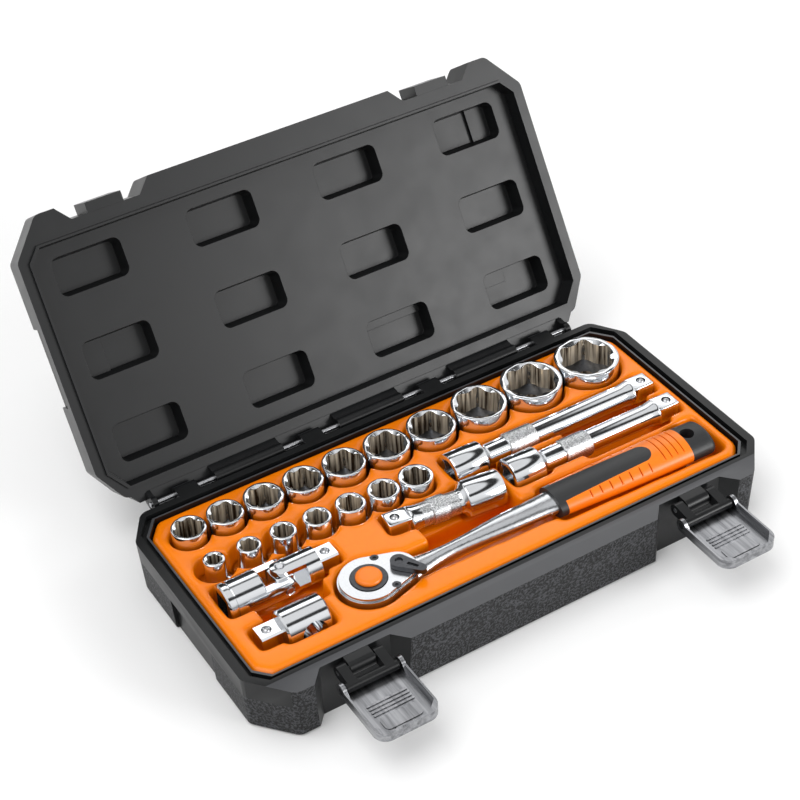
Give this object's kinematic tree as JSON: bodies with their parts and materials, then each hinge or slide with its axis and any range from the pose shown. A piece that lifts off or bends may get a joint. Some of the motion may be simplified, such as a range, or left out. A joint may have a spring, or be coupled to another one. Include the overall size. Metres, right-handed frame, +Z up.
{
  "type": "socket wrench set in case",
  "caption": "Half-inch drive socket set with ratchet, extension bars, universal joint and sliding head in an orange tray inside a hinged, latched black case standing open.",
  "frame": {"origin": "middle of the base underside", "axes": "+X along the case toward the largest socket, +Y toward the hinge, +Z up"},
  "size_m": [0.362, 0.3642, 0.1906],
  "materials": {
    "case_black": "satin rims, grained faces",
    "tray_orange": "glossy",
    "pin_steel": "bright",
    "link_black": "satin",
    "lever_steel": "polished",
    "chrome": "polished",
    "ball_steel": "polished",
    "gear_steel": "satin",
    "grip_black": "matte",
    "grip_orange": "satin",
    "button_orange": "glossy"
  },
  "bodies": {
    "case_base": {"base_shell": "case_black", "latch_tongues": "case_black", "tray_supports": "case_black", "tool_tray": "tray_orange", "hinge_pin": "pin_steel", "latch_barrel_pins": "pin_steel"},
    "lid": {"lid_shell": "case_black", "lid_panel": "case_black"},
    "latch_link_left": {"latch_link_left": "link_black"},
    "latch_lever_left": {"latch_lever_left": "lever_steel"},
    "latch_link_right": {"latch_link_right": "link_black"},
    "latch_lever_right": {"latch_lever_right": "lever_steel"},
    "socket_08": {"socket_08": "chrome"},
    "socket_10": {"socket_10": "chrome"},
    "socket_11": {"socket_11": "chrome"},
    "socket_12": {"socket_12": "chrome"},
    "socket_13": {"socket_13": "chrome"},
    "socket_14": {"socket_14": "chrome"},
    "socket_15": {"socket_15": "chrome"},
    "socket_16": {"socket_16": "chrome"},
    "socket_17": {"socket_17": "chrome"},
    "socket_18": {"socket_18": "chrome"},
    "socket_19": {"socket_19": "chrome"},
    "socket_21": {"socket_21": "chrome"},
    "socket_22": {"socket_22": "chrome"},
    "socket_24": {"socket_24": "chrome"},
    "socket_27": {"socket_27": "chrome"},
    "socket_30": {"socket_30": "chrome"},
    "socket_32": {"socket_32": "chrome"},
    "extension_long": {"extension_long": "chrome"},
    "extension_long_ball": {"extension_long_ball": "ball_steel"},
    "extension_medium": {"extension_medium": "chrome"},
    "extension_medium_ball": {"extension_medium_ball": "ball_steel"},
    "extension_short": {"extension_short": "chrome"},
    "extension_short_ball": {"extension_short_ball": "ball_steel"},
    "uj_socket": {"uj_socket_yoke": "chrome", "uj_long_pin": "pin_steel"},
    "uj_cross": {"uj_cross_block": "gear_steel", "uj_short_pins": "pin_steel"},
    "uj_drive": {"uj_drive_yoke": "chrome"},
    "uj_ball": {"uj_detent_ball": "ball_steel"},
    "t_head": {"t_head": "chrome"},
    "t_head_ball": {"t_head_ball": "ball_steel"},
    "ratchet": {"ratchet_body": "chrome", "ratchet_cover_plate": "chrome", "ratchet_cover_screws": "gear_steel", "grip_core": "grip_black", "grip_panels": "grip_orange"},
    "reverse_lever": {"reverse_lever": "chrome"},
    "ratchet_pawl": {"ratchet_pawl": "gear_steel"},
    "release_button": {"release_button": "button_orange"},
    "drive_ball": {"drive_ball": "ball_steel"},
    "drive_gear": {"drive_gear": "gear_steel", "button_spring": "pin_steel"}
  },
  "joints": [
    {"name": "lid_hinge", "type": "hinge", "parent": "case_base", "child": "lid", "pos_m": [0, 0.0974, 0.0331], "axis": [-1, 0, 0], "range_deg": [-122, 0]},
    {"name": "latch_link_turn_left", "type": "hinge", "parent": "case_base", "child": "latch_link_left", "pos_m": [-0.1174, -0.0875, 0.0335], "axis": [-1, 0, 0], "range_deg": [-80.6, 0]},
    {"name": "latch_lever_turn_left", "type": "hinge", "parent": "latch_link_left", "child": "latch_lever_left", "pos_m": [-0.1174, -0.0997, 0.033], "axis": [1, 0, 0], "range_deg": [-171.1, 0]},
    {"name": "latch_link_turn_right", "type": "hinge", "parent": "case_base", "child": "latch_link_right", "pos_m": [0.1174, -0.0875, 0.0335], "axis": [-1, 0, 0], "range_deg": [-80.6, 0]},
    {"name": "latch_lever_turn_right", "type": "hinge", "parent": "latch_link_right", "child": "latch_lever_right", "pos_m": [0.1174, -0.0997, 0.033], "axis": [1, 0, 0], "range_deg": [-171.1, 0]},
    {"name": "lift_socket_08", "type": "slide", "parent": "case_base", "child": "socket_08", "axis": [0, 0, 1], "range_m": [0, 0.045]},
    {"name": "lift_socket_10", "type": "slide", "parent": "case_base", "child": "socket_10", "axis": [0, 0, 1], "range_m": [0, 0.045]},
    {"name": "lift_socket_11", "type": "slide", "parent": "case_base", "child": "socket_11", "axis": [0, 0, 1], "range_m": [0, 0.045]},
    {"name": "lift_socket_12", "type": "slide", "parent": "case_base", "child": "socket_12", "axis": [0, 0, 1], "range_m": [0, 0.045]},
    {"name": "lift_socket_13", "type": "slide", "parent": "case_base", "child": "socket_13", "axis": [0, 0, 1], "range_m": [0, 0.045]},
    {"name": "lift_socket_14", "type": "slide", "parent": "case_base", "child": "socket_14", "axis": [0, 0, 1], "range_m": [0, 0.045]},
    {"name": "lift_socket_15", "type": "slide", "parent": "case_base", "child": "socket_15", "axis": [0, 0, 1], "range_m": [0, 0.045]},
    {"name": "lift_socket_16", "type": "slide", "parent": "case_base", "child": "socket_16", "axis": [0, 0, 1], "range_m": [0, 0.045]},
    {"name": "lift_socket_17", "type": "slide", "parent": "case_base", "child": "socket_17", "axis": [0, 0, 1], "range_m": [0, 0.045]},
    {"name": "lift_socket_18", "type": "slide", "parent": "case_base", "child": "socket_18", "axis": [0, 0, 1], "range_m": [0, 0.045]},
    {"name": "lift_socket_19", "type": "slide", "parent": "case_base", "child": "socket_19", "axis": [0, 0, 1], "range_m": [0, 0.045]},
    {"name": "lift_socket_21", "type": "slide", "parent": "case_base", "child": "socket_21", "axis": [0, 0, 1], "range_m": [0, 0.045]},
    {"name": "lift_socket_22", "type": "slide", "parent": "case_base", "child": "socket_22", "axis": [0, 0, 1], "range_m": [0, 0.045]},
    {"name": "lift_socket_24", "type": "slide", "parent": "case_base", "child": "socket_24", "axis": [0, 0, 1], "range_m": [0, 0.045]},
    {"name": "lift_socket_27", "type": "slide", "parent": "case_base", "child": "socket_27", "axis": [0, 0, 1], "range_m": [0, 0.045]},
    {"name": "lift_socket_30", "type": "slide", "parent": "case_base", "child": "socket_30", "axis": [0, 0, 1], "range_m": [0, 0.045]},
    {"name": "lift_socket_32", "type": "slide", "parent": "case_base", "child": "socket_32", "axis": [0, 0, 1], "range_m": [0, 0.045]},
    {"name": "lift_extension_long", "type": "slide", "parent": "case_base", "child": "extension_long", "axis": [0, 0, 1], "range_m": [0, 0.045]},
    {"name": "detent_extension_long", "type": "slide", "parent": "extension_long", "child": "extension_long_ball", "axis": [0, 0, 1], "range_m": [-0.0008, 0], "stiffness_N_per_m": 600},
    {"name": "lift_extension_medium", "type": "slide", "parent": "case_base", "child": "extension_medium", "axis": [0, 0, 1], "range_m": [0, 0.045]},
    {"name": "detent_extension_medium", "type": "slide", "parent": "extension_medium", "child": "extension_medium_ball", "axis": [0, 0, 1], "range_m": [-0.0008, 0], "stiffness_N_per_m": 600},
    {"name": "lift_extension_short", "type": "slide", "parent": "case_base", "child": "extension_short", "axis": [0, 0, 1], "range_m": [0, 0.045]},
    {"name": "detent_extension_short", "type": "slide", "parent": "extension_short", "child": "extension_short_ball", "axis": [0, 0, 1], "range_m": [-0.0008, 0], "stiffness_N_per_m": 600},
    {"name": "lift_universal_joint", "type": "slide", "parent": "case_base", "child": "uj_socket", "axis": [0, 0, 1], "range_m": [0, 0.045]},
    {"name": "uj_swing_up", "type": "hinge", "parent": "uj_socket", "child": "uj_cross", "pos_m": [-0.1217, -0.004, 0.033], "axis": [0, -1, 0], "range_deg": [0, 60]},
    {"name": "uj_swing_side", "type": "hinge", "parent": "uj_cross", "child": "uj_drive", "pos_m": [-0.1217, -0.004, 0.033], "axis": [0, 0, 1], "range_deg": [-3, 3]},
    {"name": "detent_uj", "type": "slide", "parent": "uj_drive", "child": "uj_ball", "axis": [0, 0, 1], "range_m": [-0.0008, 0], "stiffness_N_per_m": 600},
    {"name": "lift_t_head", "type": "slide", "parent": "case_base", "child": "t_head", "axis": [0, 0, 1], "range_m": [0, 0.045]},
    {"name": "detent_t_head", "type": "slide", "parent": "t_head", "child": "t_head_ball", "axis": [0, 0, 1], "range_m": [-0.0008, 0], "stiffness_N_per_m": 600},
    {"name": "lift_ratchet", "type": "slide", "parent": "case_base", "child": "ratchet", "axis": [0, 0, 1], "range_m": [0, 0.045]},
    {"name": "drive_gear_spin", "type": "hinge", "parent": "ratchet", "child": "drive_gear", "pos_m": [-0.0819, -0.0382, 0.0225], "axis": [0, 0, 1], "continuous": true},
    {"name": "reverse_lever_turn", "type": "hinge", "parent": "ratchet", "child": "reverse_lever", "pos_m": [-0.06171, -0.03876, 0.0395], "axis": [0, 0, 1], "range_deg": [0, 110]},
    {"name": "pawl_turn", "type": "hinge", "parent": "ratchet", "child": "ratchet_pawl", "pos_m": [-0.0819, -0.0382, 0.0225], "axis": [0, 0, 1], "range_deg": [0, 14]},
    {"name": "release_button_press", "type": "slide", "parent": "drive_gear", "child": "release_button", "axis": [0, 0, 1], "range_m": [-0.003, 0], "stiffness_N_per_m": 300, "deforming": ["button_spring"]},
    {"name": "drive_ball_draw", "type": "slide", "parent": "drive_gear", "child": "drive_ball", "axis": [-0.0279, -0.9996, 0], "range_m": [-0.0004, 0]}
  ],
  "couplings": [
    {"joint": "latch_lever_turn_left", "follows": "latch_link_turn_left", "ratio": 2.1167},
    {"joint": "latch_lever_turn_right", "follows": "latch_link_turn_right", "ratio": 2.1167},
    {"joint": "pawl_turn", "follows": "reverse_lever_turn", "ratio": 0.12727},
    {"joint": "drive_ball_draw", "follows": "release_button_press", "ratio": 0.12}
  ]
}
